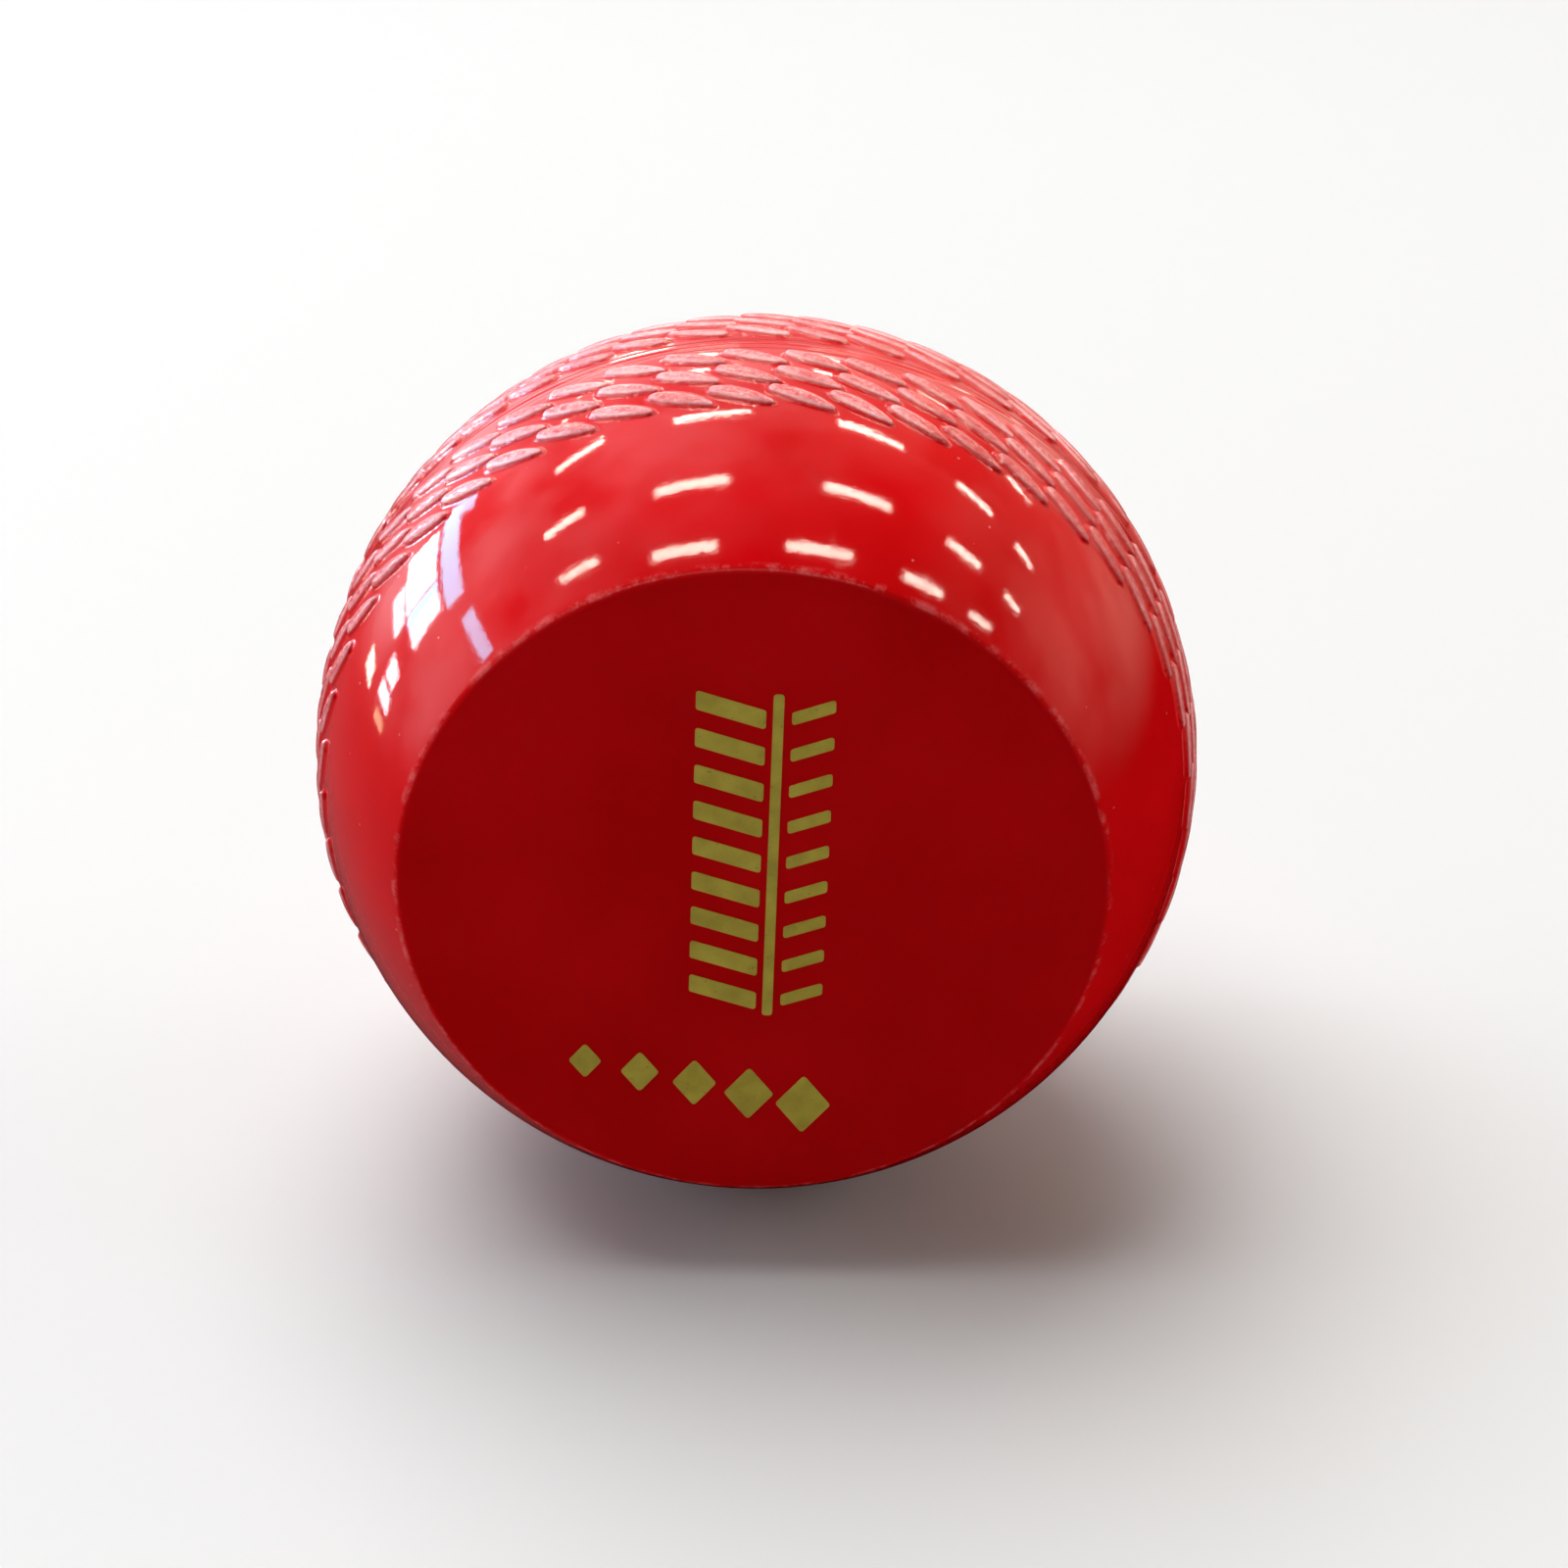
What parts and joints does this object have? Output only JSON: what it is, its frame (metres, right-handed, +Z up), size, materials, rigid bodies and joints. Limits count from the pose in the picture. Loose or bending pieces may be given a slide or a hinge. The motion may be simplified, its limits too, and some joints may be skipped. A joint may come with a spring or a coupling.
{
  "type": "cricket training ball",
  "caption": "Red moulded cricket training ball with both sides cut flat and rows of raised stitches beside a smooth seam band, over a layered cork and yarn core.",
  "frame": {"origin": "the ball's centre, on its axis and in the seam plane", "axes": "+Y along the ball's axis, away from the front flat; +Z up, with the ball standing on its seam; +X to the right seen from the front"},
  "size_m": [0.0724, 0.047, 0.0724],
  "materials": {
    "red_pvc": "glossy moulded red, with fine dust and scuffs",
    "weld_pvc": "glossy red, smooth",
    "worsted_yarn": "undyed wool, tightly wound",
    "cork": "natural cork, matte",
    "cork_rubber": "moulded cork granules in rubber, matte"
  },
  "bodies": {
    "root": {"front_cover": "red_pvc", "back_cover": "red_pvc", "seam_weld_bead": "weld_pvc", "outer_winding": "worsted_yarn", "cork_strip_1": "cork", "cork_strip_2": "cork", "cork_strip_3": "cork", "cork_strip_4": "cork", "cork_strip_5": "cork", "cork_strip_6": "cork", "inner_winding": "worsted_yarn", "cork_centre": "cork_rubber"}
  },
  "joints": []
}
